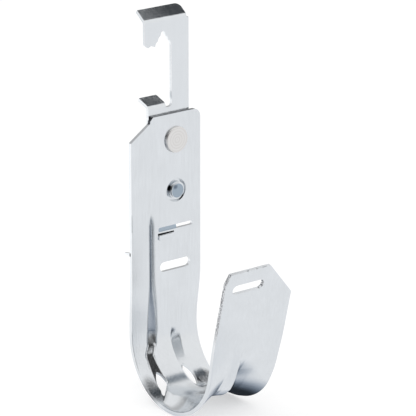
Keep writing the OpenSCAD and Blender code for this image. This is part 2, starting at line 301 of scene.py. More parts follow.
class Shading:
    """A node tree, with short calls for the nodes that the finishes and the studio share."""

    def __init__(self, owner: bpy.types.Material | bpy.types.World, clear: bool = True) -> None:
        """Open the node tree of a material or world.

        Args:
            owner: The material or world.
            clear: True where its default nodes are dropped.
        """
        owner.use_nodes = True
        self.tree = owner.node_tree
        if clear:
            self.tree.nodes.clear()

    def feed(self, node: bpy.types.Node, inputs: Inputs) -> None:
        """Link sockets to the inputs of a node, or set them to plain values.

        Args:
            node: The node.
            inputs: A socket or a value for each input, by its name or number.
        """
        for key, value in inputs.items():
            if isinstance(value, Socket):
                self.tree.links.new(value, node.inputs[key])
            else:
                node.inputs[key].default_value = value

    def add(self, kind: str, inputs: Inputs | None = None, **settings: str) -> bpy.types.Node:
        """Add a node.

        Args:
            kind: Its type, without the prefix ShaderNode.
            inputs: What goes into its inputs.
            settings: The node's own settings.

        Returns:
            The node.
        """
        node = self.tree.nodes.new("ShaderNode" + kind)
        for name, value in settings.items():
            setattr(node, name, value)
        self.feed(node, inputs or {})
        return node

    def finish(self, kind: str, shader: bpy.types.Node) -> None:
        """Send a shader to the output of a material or world."""
        self.add("Output" + kind, {"Surface": shader.outputs[0]})

    def place(self, kind: str = "Object") -> Socket:
        """Give a texture coordinate, the piece's own unless another is named."""
        return self.add("TexCoord").outputs[kind]

    def split(self, vector: Socket) -> list[Socket]:
        """Split a vector into its X, Y and Z."""
        return list(self.add("SeparateXYZ", {0: vector}).outputs)

    def math(self, operation: str, *values: Socket | float) -> Socket:
        """Work out a value from one or two others."""
        return self.add("Math", dict(enumerate(values)), operation=operation).outputs[0]

    def product(self, *factors: Socket | float) -> Socket:
        """Multiply values, in their order."""
        return reduce(lambda first, second: self.math("MULTIPLY", first, second), factors)

    def measure(self, operation: str, *vectors: Socket | Sequence[float]) -> Socket:
        """Measure a length, a distance or a dot product."""
        return self.add("VectorMath", dict(enumerate(vectors)), operation=operation).outputs["Value"]

    def blend(self, factor: Socket, first: Socket | Colour | float, second: Socket | Colour | float,
              kind: str = "RGBA") -> Socket:
        """Mix two colours, or two values where the kind is FLOAT.

        Args:
            factor: The share of the second.
            first: The first colour or value.
            second: The second.
            kind: The type of both.

        Returns:
            The mixture.
        """
        return self.add("Mix", {"Factor": factor, "A": first, "B": second}, data_type=kind).outputs["Result"]

    def fade(self, source: Socket, start: float, end: float, low: float = 0.0, high: float = 1.0) -> Socket:
        """Ease from one value to another.

        Args:
            source: What it follows.
            start: Where in the source it starts.
            end: Where in the source it ends.
            low: The value at the start.
            high: The value at the end.

        Returns:
            The eased value.
        """
        limits = {"Value": source, "From Min": start, "From Max": end, "To Min": low, "To Max": high}
        return self.add("MapRange", limits, interpolation_type="SMOOTHSTEP").outputs["Result"]

    def spread(self, noise: Socket, low: float, high: float) -> Socket:
        """Map the middle of a noise's range onto low to high."""
        start, end = NOISE_RANGE
        limits = {"Value": noise, "From Min": start, "From Max": end, "To Min": low, "To Max": high}
        return self.add("MapRange", limits).outputs["Result"]

    def noise(self, size: float, detail: float, stretch: Sequence[float] = (1.0, 1.0, 1.0)) -> Socket:
        """Add a noise that reads the piece's own coordinates.

        Args:
            size: Its size, in metres.
            detail: Its octaves.
            stretch: The scale of the coordinates along X, Y and Z.

        Returns:
            The noise.
        """
        at = self.add("Mapping", {"Vector": self.place(), "Scale": stretch}).outputs["Vector"]
        inputs = {"Vector": at, "Scale": 1 / size, "Detail": detail, "Roughness": NOISE_ROUGHNESS}
        return self.add("TexNoise", inputs).outputs["Fac"]

    def local(self, middle: Sequence[float], size: Sequence[float]) -> Socket:
        """Give the piece's own coordinates, measured from a middle in shares of a size."""
        inputs = {"Vector": self.place(), "Location": middle, "Scale": size}
        return self.add("Mapping", inputs, vector_type="TEXTURE").outputs["Vector"]

    def relief(self, height: Socket, strength: float, depth: float, under: Socket | None = None) -> Socket:
        """Add a bump.

        Args:
            height: Its height.
            strength: Its strength.
            depth: Its depth, in metres.
            under: The normal that it is laid on, if any.

        Returns:
            The bumped normal.
        """
        inputs = {"Height": height, "Strength": strength, "Distance": depth}
        if under is not None:
            inputs["Normal"] = under
        return self.add("Bump", inputs).outputs["Normal"]


# ---------------------------------------------------------------- finishes


@dataclass(frozen=True)
class ShadeSpot:
    """An ellipsoidal patch painted darker, standing for shade on the stud and for dark reflections on the
    bend.

    Attributes:
        middle: Its middle, in metres.
        size: Its half lengths.
        core: The share of it that is full.
        dark: Its colour.
    """

    middle: tuple[float, float, float]
    size: tuple[float, float, float]
    core: float
    dark: Colour

    def mask(self, net: Shading, origin: Sequence[float] = (0.0, 0.0, 0.0)) -> Socket:
        """Give a mask that is 1 in its core and 0 outside it, with its middle set off from an origin."""
        middle = [a + b for a, b in zip(origin, self.middle)]
        return net.fade(net.measure("LENGTH", net.local(middle, self.size)), 1.0, self.core)


@dataclass(frozen=True)
class ZincPlate:
    """Bright zinc plate on rolled sheet.

    Attributes:
        name: The name of the material.
        tint: The colour of the metal.
        roughness: How blurred its reflections are, at least and at most.
        grain: The direction of rolling.
        grain_size: The size of the rolling grain, in metres.
        grain_height: The strength of the grain's relief.
        ripple: The strength of the slow waves in the sheet.
        mottle: How much the colour varies.
        cloud_size: The size of the slow waves, in metres.
        speck_share: The size of the specks, as a share of the grain's.
    """

    name: str
    tint: Colour
    roughness: tuple[float, float]
    grain: Grain = Grain.ALONG_Z
    grain_size: float = 0.0007
    grain_height: float = 0.22
    ripple: float = 0.12
    mottle: float = 0.05
    cloud_size: float = 0.012
    speck_share: float = 0.55

    def marks(self, net: Shading, colour: Socket, specks: Socket) -> Socket:
        """Add the marks that this piece alone has, none on plain plate.

        Args:
            net: The node tree to add to.
            colour: The colour of the plated faces.
            specks: A fine noise.

        Returns:
            The colour with its marks.
        """
        return colour

    def build(self) -> bpy.types.Material:
        """Build the material.

        Returns:
            The finished material.
        """
        material = bpy.data.materials.new(self.name)
        net = Shading(material, clear=False)
        streaks = net.noise(self.grain_size, 3, self.grain.value)
        clouds = net.noise(self.cloud_size, 2)
        specks = net.noise(self.grain_size * self.speck_share, 2)
        bright = net.math("ADD", net.spread(streaks, 0.0, 0.6), net.spread(clouds, 0.0, 0.4))
        dull = [c * (1 - self.mottle) for c in self.tint]
        colour = net.blend(bright, (*dull, 1), (*self.tint, 1))
        waves = net.relief(clouds, self.ripple, WAVE_DEPTH)
        rolled = net.relief(streaks, self.grain_height, STREAK_DEPTH, waves)
        net.feed(net.tree.nodes["Principled BSDF"], {
            "Metallic": 1.0,
            "Specular IOR Level": 0.5,
            "Base Color": self.marks(net, colour, specks),
            "Roughness": net.spread(streaks, *self.roughness),
            "Normal": net.relief(specks, self.grain_height, SPECK_DEPTH, rolled),
        })
        return material


@dataclass(frozen=True)
class StripZinc(ZincPlate):
    """The strip's plate, with painted shade on its top edges, the darker torn edge of its lip and painted
    dark reflections on the bend beside its lanced steps.

    Attributes:
        plate_top: The heights between which the painted shade on the plate's top edges sets in.
        lip_top: The heights between which the painted shade on the lip's top edge sets in.
        lip_front: The depths between which the lip's painted shade sets in.
        torn_front: The depths between which the torn edge sets in.
        torn_up: The heights between which the torn edge sets in.
        painted_dark_reflections: The painted dark reflections on the bend.
    """

    # Painted shade: the cut edges of the plate's upper part near-black, as the shadow between it and the
    # clip, and the lip's top face grey.
    plate_top: Point = (-0.0382, -0.0378)
    lip_top: Point = (-0.0835, -0.0825)
    lip_front: Point = (-0.05, -0.052)
    torn_front: Point = (-0.044, -0.046)
    torn_up: Point = (-0.118, -0.108)
    # Painted dark reflections on the bend beside the lanced steps, two near-black and one grey.
    painted_dark_reflections: tuple[ShadeSpot, ...] = (
        ShadeSpot((-0.0148, -0.0128, -0.15), (0.0052, 0.0095, 0.009), 0.35, (0.04, 0.042, 0.046)),
        ShadeSpot((0.0105, -0.0155, -0.1495), (0.009, 0.0065, 0.006), 0.45, (0.04, 0.042, 0.046)),
        ShadeSpot((-0.001, -0.02, -0.1525), (0.005, 0.006, 0.006), 0.2, (0.3, 0.31, 0.32)),
    )

    def marks(self, net: Shading, colour: Socket, specks: Socket) -> Socket:
        """Paint shade on the top edges of the plate and the lip, darken the torn left edge of the lip and
        paint dark reflections on the bend.
        """
        _, y, z = net.split(net.place())
        left, front, up = net.split(net.place("Normal"))
        edge = net.fade(net.math("ABSOLUTE", front), 0.25, 0.1)
        # painted shade on the plate's cut edges near its top and on the lip's top face
        plate = net.product(edge, net.fade(z, *self.plate_top))
        lip = net.product(net.fade(up, 0.55, 0.8), net.fade(z, *self.lip_top), net.fade(y, *self.lip_front))
        torn = net.product(net.fade(left, -0.55, -0.75), net.fade(y, *self.torn_front),
                           net.fade(z, *self.torn_up), net.fade(specks, 0.42, 0.56))
        # speckles that break up the painted dark reflections of the bend
        reflection_specks = net.spread(specks, 0.45, 1.0)
        painted_dark_reflections = [(net.product(spot.mask(net), reflection_specks), spot.dark) for spot in self.painted_dark_reflections]
        for mask, dark in ((plate, (0.05, 0.055, 0.065)), (lip, (0.3, 0.31, 0.33)),
                           (torn, (0.16, 0.16, 0.17)), *painted_dark_reflections):
            colour = net.blend(mask, colour, (*dark, 1))
        return colour


@dataclass(frozen=True)
class ClipZinc(ZincPlate):
    """The clip's plate, with shade painted on the end of its stud and in the gap beside it.

    Attributes:
        stud_drop: The stud's distance below the rivet, in metres.
        painted_stud_shade: The painted shade of the stud, set off from its axis: its end grey-blue and darker
            at the upper left, and black shadow in the gap beside it at its upper left and lower right.
    """

    stud_drop: float = 0.0219
    # Painted shade: the stud's end, its darker upper left, and black shadow in the gap at its upper left and
    # lower right.
    painted_stud_shade: tuple[ShadeSpot, ...] = (
        ShadeSpot((0.0, -0.0035, 0.0), (0.0032, 0.0012, 0.0032), 0.88, (0.36, 0.43, 0.5)),
        ShadeSpot((-0.0012, -0.0035, 0.0018), (0.0017, 0.0008, 0.0014), 0.2, (0.15, 0.19, 0.24)),
        ShadeSpot((-0.0046, -0.0022, 0.0019), (0.0023, 0.0022, 0.0028), 0.6, (0.012, 0.013, 0.016)),
        ShadeSpot((0.0031, -0.0022, -0.0029), (0.0013, 0.0022, 0.0013), 0.6, (0.02, 0.02, 0.025)),
    )

    def marks(self, net: Shading, colour: Socket, specks: Socket) -> Socket:
        """Paint the stud's end grey-blue, darker at its upper left, and paint black shadow in the gap beside
        it.
        """
        x, z = rivet_axis()
        for spot in self.painted_stud_shade:
            colour = net.blend(spot.mask(net, (x, 0.0, z - self.stud_drop)), colour, (*spot.dark, 1))
        return colour


@dataclass(frozen=True)
class RivetZinc(ZincPlate):
    """The rivet's plate, with the fine rings of its heading tool.

    Attributes:
        rings: The scale of the wave that draws the rings.
    """

    rings: float = 260.0

    def marks(self, net: Shading, colour: Socket, specks: Socket) -> Socket:
        """Draw faint rings round the rivet's axis."""
        x, z = rivet_axis()
        at = net.local((x, 0, z), (1, 1000, 1))
        inputs = {"Vector": at, "Scale": self.rings}
        wave = net.add("TexWave", inputs, wave_type="RINGS", rings_direction="SPHERICAL")
        return net.blend(net.spread(wave.outputs["Fac"], 0.28, 0.0), colour, (0.6, 0.58, 0.56, 1))


STRIP_FINISH = StripZinc("strip_zinc", (0.80, 0.825, 0.85), (0.14, 0.22), mottle=0.09)
CLIP_FINISH = ClipZinc("clip_zinc", (0.79, 0.815, 0.84), (0.14, 0.22), grain_size=0.0012, grain_height=0.5)
RIVET_FINISH = RivetZinc("rivet_zinc", (0.84, 0.825, 0.81), (0.28, 0.36), grain=Grain.EVEN, ripple=0.05)
# Painted shade: a near-black sheet behind the window and a grey-blue shaded one behind the slit's left part,
# where there is only shadow.
WINDOW_SHADOW_FINISH = ZincPlate("window_shadow_black", (0.012, 0.013, 0.015), (0.3, 0.4))
SHADE_FINISH = ZincPlate("shaded_zinc", (0.42, 0.49, 0.56), (0.2, 0.3))


# ---------------------------------------------------------------- the strip


# The stations of the bend's top, the loop's end and the saddle's run-out
TOP, LOOP, END = -40.0, 160.0, 200.0
# The guide lines along the left and the right side of each eye
EYE_GUIDES = ((2, 3), (9, 10))


def ease(s: float | np.ndarray) -> float | np.ndarray:
    """Ease from 0 to 1 as s goes from 0 to 1, flat at both ends."""
    c = np.clip(s, 0.0, 1.0)
    return c * c * (3 - 2 * c)


def between(q: float, start: float, end: float) -> float:
    """Ease from 0 to 1 as q goes from start to end, which may be the lower."""
    return ease((q - start) / (end - start))


def mix(a: float | np.ndarray, b: float | np.ndarray, s: float | np.ndarray) -> float | np.ndarray:
    """Mix a and b by the share s."""
    return a + (b - a) * s


def table(q: float, pairs: Sequence[Point]) -> float:
    """Read a table of (station, value) pairs at a station."""
    return float(np.interp(q, [p[0] for p in pairs], [p[1] for p in pairs]))


@dataclass
class HookStrip:
    """The formed strip: back plate, stepped bend and lip, in millimetres of the hook's own frame.

    The hook's frame has X from the strip's left edge, Y from the front of the back plate towards the
    rear, and Z from the middle of the slot in the back plate. Stations run along the bend from -40 at
    its top to 0 where the loop starts, 160 at the loop's end and 200 where the saddle has run out.
    """

    width: float = 36.0
    sheet: float = 1.6
    back_height: float = 65.5
    cut_width: float = 9.9
    nick: float = 1.5
    corner_round: float = 3.5
    lip_cut: float = 13.7
    lip_nick: float = 1.8
    loop_radius: float = 25.6
    saddle_radius: float = 22.0
    bend_drop: float = 27.0
    edge_back: float = 1.6
    edge_tuck: float = 0.8
    lean: float = 14.0
    lip_length: float = 51.3
    run_out: float = 18.0
    bead_depth: float = 1.0
    bead_top: float = 26.0
    bead_fade: float = 8.0
    crest: float = 0.15
    bend_top: float = -3.0
    mid_rise: float = 1.2
    ridge_height: float = 1.1
    groove_height: float = 1.7
    ridge_drop: float = 0.018
    eye_length: float = 13.0
    eye_angle: float = 58.0
    far_tuck: float = 0.15
    fillet: float = 0.42
    column_step: float = 0.5
    slot_radius: float = 2.1
    slot_half: float = 5.9
    back_slot: float = 22.6
    lip_slot: float = 12.0
    lip_slot_drop: float = 7.7
    slit_radius: float = 0.55
    slit_open: float = 0.92
    slit_half: float = 8.45
    slit_up: float = 16.6
    slit_shift: float = 0.3
    window_drop: float = 3.6
    fix_at: float = 23.2
    rivet_drop: float = 11.3
    stud_pitch: float = 21.9
    stud_hole: float = 5.0
    shank: float = 3.05
    band_side: tuple[Point, ...] = ((-40, 0.247), (0, 0.24), (14, 0.22), (22, 0.16), (58, 0.15), (72, 0.04),
                                    (84, 0.015), (200, 0.015))
    step_side: tuple[Point, ...] = ((-40, 0.367), (0, 0.37), (14, 0.33), (24, 0.25), (60, 0.24), (72, 0.14),
                                    (84, 0.15), (100, 0.24), (150, 0.24), (170, 0.28), (200, 0.28))
    foot_side: tuple[Point, ...] = ((-40, 0.44), (0, 0.43), (24, 0.33), (72, 0.3), (92, 0.32), (160, 0.3),
                                    (200, 0.3))
    peak_side: tuple[Point, ...] = ((-40, 0.48), (24, 0.42), (92, 0.44), (150, 0.435), (200, 0.41))
    lip_side: tuple[Point, ...] = ((-40, 1), (124, 1), (144, 0.5), (160, 0.4), (180, 0.35), (200, 0))
    fall_side: tuple[Point, ...] = ((-40, 0.26), (0, 0.26), (24, 0.16), (64, 0.16), (90, 0.26), (100, 0.28),
                                    (130, 0.34), (160, 0.45), (200, 0.5))
    opening: tuple[Point, ...] = ((0, 1.75), (8.4, 1.9), (8.4, 2.5), (0, 2.65))
    bulge: tuple[Point, ...] = ((0.1, 0.1), (0.7, -0.4), (7.7, -0.4), (8.3, 0.1), (8.2, 1.7), (4.2, 1.75),
                                (0.2, 1.7))
    behind_window: tuple[Point, ...] = ((-0.4, 1.2), (8.8, 1.2), (8.8, 3.2), (-0.4, 3.2))
    behind_slit: tuple[Point, ...] = ((0, 2.85), (10.2, 2.85), (9.6, 5.45), (0, 5.45))
    barb: tuple[Point, ...] = ((0.8, 0.9), (0.8, -0.9), (5.2, -0.4), (5.2, 0.1))
    corner: Vector = field(default_factory=Vector)

    def __post_init__(self) -> None:
        """Work out the turns of the bend and where the hook's frame stands in the part's."""
        strip_low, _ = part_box(Node.HOOK_STRIP.value)
        rivet_low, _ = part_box(Node.RIVET.value)
        lowest = self.bend_drop + self.loop_radius + self.sheet
        self.corner = Vector((strip_low.x, rivet_low.y + MM, strip_low.z + lowest * MM))
        self.turn = 180 - self.lean
        self.up = np.array([-math.sin(math.radians(self.lean)), math.cos(math.radians(self.lean))])
        self.edge_middle = np.array([self.edge_back - self.loop_radius, -self.bend_drop])
        self.saddle_middle = np.array([-self.saddle_radius, -self.bend_drop])
        self.lip_foot = self.on_arc(self.edge_middle, self.loop_radius, self.turn)
        self.meet = self.lip_foot + self.run_out * self.up
        reach = self.meet - self.saddle_middle
        bearing = math.degrees(math.atan2(-reach[1], reach[0]))
        touch = math.degrees(math.acos(self.saddle_radius / float(np.hypot(*reach))))
        self.saddle_turn = 360 + bearing - touch
        self.saddle_foot = self.on_arc(self.saddle_middle, self.saddle_radius, self.saddle_turn)
        self.eye_middle = self.eye_angle * LOOP / self.turn
        self.eye_half = math.degrees(self.eye_length / 2 / self.loop_radius) * LOOP / self.turn

    def on_arc(self, middle: np.ndarray, radius: float, turn: float) -> np.ndarray:
        """Find a point on an arc of the bend.

        Args:
            middle: The arc's centre, as [y, z].
            radius: Its radius.
            turn: The turn from the back plate, in degrees.

        Returns:
            The point, as [y, z].
        """
        a = math.radians(turn)
        return middle + radius * np.array([math.cos(a), -math.sin(a)])

    def walk(self, q: float, offset: float, middle: np.ndarray, radius: float, turn: float,
             foot: np.ndarray) -> np.ndarray:
        """Walk to a station along the edges' loop or along the saddle.

        Args:
            q: The station.
            offset: How far the path swings back before the loop.
            middle: The centre of its arc.
            radius: The arc's radius.
            turn: The arc's turn, in degrees.
            foot: The arc's end.

        Returns:
            The point, as [y, z].
        """
        last = LOOP * turn / self.turn
        if q < 0:
            return np.array([offset * between(q, TOP, 0), mix(-self.bend_drop, self.bend_top, q / TOP)])
        if q <= last:
            return self.on_arc(middle, radius, self.turn * q / LOOP)
        return mix(foot, self.meet, (q - last) / (END - last))

    def edge(self, q: float) -> np.ndarray:
        """Walk along the edges' loop to a station."""
        return self.walk(q, self.edge_back, self.edge_middle, self.loop_radius, self.turn, self.lip_foot)

    def saddle(self, q: float) -> np.ndarray:
        """Walk along the saddle to a station."""
        return self.walk(q, 0.0, self.saddle_middle, self.saddle_radius, self.saddle_turn, self.saddle_foot)

    def outward(self, path: Callable[[float], np.ndarray], q: float) -> np.ndarray:
        """Find the direction out of the hook at a station.

        Args:
            path: The path that is walked.
            q: The station.

        Returns:
            A unit vector, as [y, z].
        """
        if q <= TOP:
            return np.array([1.0, 0.0])
        along = self.up if q >= END else path(q + 0.5) - path(q - 0.5)
        out = np.array([-along[1], along[0]])
        return out / np.hypot(*out)

    def rise(self, q: float) -> float:
        """Say how far the middle band stands out of the saddle, which is below zero as it stands in."""
        return -self.mid_rise * between(q, 0, 45) * between(q, 190, 140)

    def eye(self, q: float) -> float:
        """Say how wide an eye is at a station, as a share of its widest."""
        return max(0.0, 1 - ((q - self.eye_middle) / self.eye_half) ** 2)

    def fall(self, c: np.ndarray, q: float) -> np.ndarray:
        """Say how far the right side lies towards the saddle at a share from the right edge."""
        tuck = self.far_tuck * between(q, 80, 100) * between(q, 170, 150)
        return mix(tuck, 1.0, np.minimum(1.0, c / table(q, self.fall_side)))

    def bead(self, q: float) -> float:
        """Say how deep the long bead is at a station."""
        return self.bead_depth * between(q, 36, 4)

    def climb(self, c: np.ndarray, foot: float, peak: float) -> tuple[np.ndarray, np.ndarray]:
        """Say how far a ridge has climbed from its foot to its peak, and then dropped to the middle band."""
        return np.clip((c - foot) / (peak - foot), 0.0, 1.0), np.clip((c - peak) / self.ridge_drop, 0.0, 1.0)

    def left_form(self, c: np.ndarray, q: float) -> tuple[np.ndarray, np.ndarray]:
        """Give the form of the left half at shares from the left edge.

        Args:
            c: The shares of the width.
            q: The station.

        Returns:
            The share of the way from the edges' loop to the saddle, and the distance out from there.
        """
        a, b = table(q, self.band_side), table(q, self.step_side)
        foot, peak, on = table(q, self.foot_side), table(q, self.peak_side), table(q, self.lip_side)
        m, out, rise, bead = between(q, 72, 88), between(q, 104, 136), self.rise(q), self.bead(q)
        ridge = self.ridge_height * between(q, 70, 94) * between(q, 202, 142)
        level = rise * (1 - out)
        top = mix(rise, ridge, out)
        f = np.clip((c - a) / (b - a), 0.0, 1.0)
        crown = np.where(f < self.crest, f / self.crest, ((1 - f) / (1 - self.crest)) ** 3)
        climb, drop = self.climb(c, foot, peak)
        w = mix(on * mix(ease(f), f, m), 1.0, drop)
        d = np.where(c < foot, bead * crown + level * ease(f), mix(level, top, climb))
        return w, mix(d, rise, drop)

    def right_form(self, c: np.ndarray, q: float) -> tuple[np.ndarray, np.ndarray]:
        """Give the form of the right half at shares from the right edge, as left_form does."""
        r = LOOP - q
        foot, peak, rise = table(r, self.foot_side), table(r, self.peak_side), self.rise(q)
        m = between(r, 72, 88)
        ridge = self.groove_height * between(q, 0, 17) * between(q, 92, 68) * (1 - self.eye(q))
        level, top = rise * (1 - m), mix(rise, ridge, m)
        climb, drop = self.climb(c, foot, peak)
        d = np.where(c < foot, level * np.minimum(1.0, c / 0.26), mix(level, top, climb))
        return self.fall(np.minimum(c, peak), q), mix(d, rise, drop)

    def form(self, c: np.ndarray, q: float) -> tuple[np.ndarray, np.ndarray]:
        """Give the form across the whole width, its steps rounded as pressed sheet is.

        Args:
            c: The shares of the width from the left edge.
            q: The station.

        Returns:
            The share of the way from the edges' loop to the saddle, and the distance out from there.
        """
        reach = self.fillet / self.width
        total_w, total_d, weight = np.zeros_like(c), np.zeros_like(c), 0.0
        for k in np.linspace(-1, 1, 9):
            at = np.clip(c + k * reach, 0.0, 1.0)
            w_left, d_left = self.left_form(at, q)
            w_right, d_right = self.right_form(1 - at, q)
            left = at < 0.5
            share = 1.2 - abs(k)
            total_w += share * np.where(left, w_left, w_right)
            total_d += share * np.where(left, d_left, d_right)
            weight += share
        return total_w / weight * between(q, END, 144), total_d / weight

    def guides(self, q: float) -> list[float]:
        """Place the guide lines across the width: band, step, ridge and the sides of the two eyes.

        Args:
            q: The station.

        Returns:
            The shares of the width from the left edge, in order.
        """
        r, g = LOOP - q, self.eye(q)
        a, b = table(q, self.band_side), table(q, self.step_side)
        near = ease((1.5 - abs(q - self.eye_middle) / self.eye_half) / 0.5)
        half = 0.03 + 0.43 * g
        f0, f1 = mix(0.2, 0.5 - half, near), mix(0.6, 0.5 + half, near)
        foot, peak = table(q, self.foot_side), table(q, self.peak_side)
        foot_r, peak_r = table(r, self.foot_side), table(r, self.peak_side)
        middle = (foot_r + peak_r) / 2
        open_half = 0.06 + 0.94 * g
        c1 = mix(peak_r, mix(middle, peak_r + self.ridge_drop * 0.5, open_half), near)
        c2 = mix(foot_r, mix(middle, foot_r, open_half), near)
        return [0.0, a, mix(a, b, f0), mix(a, b, f1), b, foot, peak, peak + self.ridge_drop,
                1 - peak_r - self.ridge_drop - 0.001, 1 - c1, 1 - c2, 0.74, 0.86, 1.0]

    def rows(self) -> list[tuple[str, float]]:
        """List the rows of the sheet from its top edge to the lip's.

        Returns:
            Pairs of a kind, plate, bend or lip, and a height, station or length.
        """
        start, end = self.eye_middle - self.eye_half, self.eye_middle + self.eye_half
        fade = np.linspace(self.bead_top, self.bead_top - self.bead_fade, 11)
        stations = np.concatenate([np.linspace(TOP, 0, 17)[1:-1], np.linspace(0, start, 32)[:-1],
                                   np.linspace(start, end, 29)[:-1], np.linspace(end, LOOP, 70)[:-1],
                                   np.linspace(LOOP, END, 21)])
        return ([("plate", self.back_height)] + [("plate", float(z)) for z in fade] +
                [("plate", 7.0), ("plate", self.bend_top)] + [("bend", float(q)) for q in stations] +
                [("lip", self.lip_length - self.run_out)])

    def station(self, kind: str, at: float) -> float:
        """Give the station whose form a row has."""
        return {"plate": TOP, "lip": END}.get(kind, at)

    def row_points(self, kind: str, at: float, repeats: Sequence[int]) -> tuple[np.ndarray, np.ndarray]:
        """Place one row of points on both faces of the sheet.

        Args:
            kind: The kind of row.
            at: Its height, station or length.
            repeats: The columns between each pair of guide lines.

        Returns:
            The points on the outside and on the inside of the hook, as arrays of [x, y, z].
        """
        q = self.station(kind, at)
        guides = self.guides(q)
        spans = zip(guides, guides[1:], repeats)
        c = np.concatenate([np.linspace(a, b, n, endpoint=False) for a, b, n in spans] + [[1.0]])
        w, d = self.form(c, q)
        tuck = self.edge_tuck * between(q, TOP, 0) * between(q, END, LOOP)
        x = mix(tuck, self.width - tuck, c)
        faces = []
        for face in (1, 0):
            if kind == "plate":
                depth = d * between(at, self.bead_top, self.bead_top - self.bead_fade)
                y, z = face * self.sheet + depth, np.full_like(c, at)
            elif kind == "lip":
                foot = self.meet + at * self.up + face * self.sheet * self.outward(self.edge, END)
                y, z = np.full_like(c, foot[0]), np.full_like(c, foot[1])
            else:
                out_e, out_s = self.outward(self.edge, q), self.outward(self.saddle, q)
                e = self.edge(q) + face * self.sheet * out_e
                s = self.saddle(q) + face * self.sheet * out_s
                y = mix(e[0], s[0], w) + d * mix(out_e[0], out_s[0], w)
                z = mix(e[1], s[1], w) + d * mix(out_e[1], out_s[1], w)
            faces.append(np.stack([x, y, z], axis=1))
        return faces[0], faces[1]

    def to_part(self) -> Matrix:
        """Give the matrix from the hook's frame, in millimetres, to the part's, in metres."""
        return Matrix.Translation(self.corner) @ Matrix.Scale(MM, 4)

    def upright(self) -> Matrix:
        """Give the matrix from outlines drawn on the plate, in X and Z, to the part's frame."""
        return self.to_part() @ Matrix(((1, 0, 0, 0), (0, 0, -1, 0), (0, 1, 0, 0), (0, 0, 0, 1)))

    def by_window(self, outline: Sequence[Point]) -> list[Point]:
        """Set an outline off from the lower left corner of the window, below the slit's left end."""
        left = self.back_slot - self.slit_half - self.slit_radius
        foot = self.slit_up - self.slit_radius - self.window_drop
        return [(left + x, foot + z) for x, z in outline]

    def sheet_mesh(self) -> bpy.types.Object:
        """Model the strip's sheet, bent and stepped, with its two eyes open.

        Returns:
            The sheet, closed all round.
        """
        rows = self.rows()
        spans = np.array([np.diff(self.guides(self.station(*row))) for row in rows]).max(axis=0) * self.width
        repeats = [max(3, math.ceil(span / self.column_step)) for span in spans]
        outer, inner = zip(*(self.row_points(kind, at, repeats) for kind, at in rows))
        n, m = sum(repeats) + 1, len(rows)
        lines = np.concatenate([[0], np.cumsum(repeats)])
        inside = [i for i, (kind, q) in enumerate(rows)
                  if kind == "bend" and abs(q - self.eye_middle) <= self.eye_half + 1e-6]
        gap = np.zeros((m - 1, n - 1), dtype=bool)
        for left, right in EYE_GUIDES:
            gap[inside[0]:inside[-1], lines[left]:lines[right]] = True
        back, faces = m * n, []
        for i in range(m - 1):
            for j in range(n - 1):
                if gap[i, j]:
                    continue
                a = i * n + j
                faces.append((a, a + 1, a + n + 1, a + n))
                faces.append((back + a, back + a + n, back + a + n + 1, back + a + 1))
                for missing, p, q in ((j == 0 or gap[i, j - 1], a, a + n),
                                      (j == n - 2 or gap[i, min(j + 1, n - 2)], a + n + 1, a + 1),
                                      (i == 0 or gap[i - 1, j], a + 1, a),
                                      (i == m - 2 or gap[min(i + 1, m - 2), j], a + n, a + n + 1)):
                    if missing:
                        faces.append((p, q, back + q, back + p))
        mesh = bpy.data.meshes.new("strip_sheet")
        mesh.from_pydata(np.concatenate([np.concatenate(outer), np.concatenate(inner)]).tolist(), [], faces)
        mesh.transform(self.to_part())
        piece = bpy.data.objects.new("strip_sheet", mesh)
        bpy.context.scene.collection.objects.link(piece)
        edit(piece, bpy.ops.mesh.delete_loose, turn_out)
        return piece

    def cutters(self) -> bpy.types.Object:
        """Model all that is punched or sheared out of the flat parts of the sheet.

        Returns:
            The cutters, joined in one object.
        """
        w, h = self.width, self.back_height
        near, far = -self.sheet - 1.0, 1.0
        tip = self.meet + (self.lip_length - self.run_out) * self.up
        lip = self.to_part() @ Matrix(((1, 0, 0, 0), (0, self.up[0], -self.up[1], tip[0]),
                                       (0, self.up[1], self.up[0], tip[1]), (0, 0, 0, 1)))
        r, cut, nick = self.corner_round, self.cut_width, self.nick
        swing = [(w - r + r * math.sin(math.radians(a)), h - r + r * math.cos(math.radians(a)))
                 for a in range(0, 91, 6)]
        flat = {
            "left_corner": [(-1, h - 10.1), (0, h - 9.1), (cut, h - 2.4), (cut, h - nick), (cut + nick, h),
                            (cut + nick, h + 1), (-1, h + 1)],
            "right_corner": [(w - r, h + 1), *swing, (w + 1, h - r), (w + 1, h + 1)],
            "back_slot": round_outline((self.back_slot, 0), self.slot_radius, self.slot_half),
            "slit": round_outline((self.back_slot + self.slit_shift, self.slit_up), self.slit_open,
                                  self.slit_half - self.slit_shift, 24),
            "window": self.by_window(self.opening),
            "rivet_hole": round_outline((self.fix_at, h - self.rivet_drop), self.shank),
            "stud_hole": round_outline((self.fix_at, h - self.rivet_drop - self.stud_pitch), self.stud_hole,
                                       steps=96),
        }
        leaning = {
            "lip_right": [(w - self.lip_cut - 0.9, 1), (w + 1, 1), (w + 1, -16.31)],
            "lip_left": [(-1, 1), (-1, -7.16), (self.lip_nick + 0.39, 1)],
            "lip_slot": round_outline((self.lip_slot, -self.lip_slot_drop), self.slot_radius, self.slot_half),
        }
        made = [prism(name, outline, near, far, self.upright()) for name, outline in flat.items()]
        made += [prism(name, outline, -3.2, 3.2, lip) for name, outline in leaning.items()]
        return join(made, "cutters")

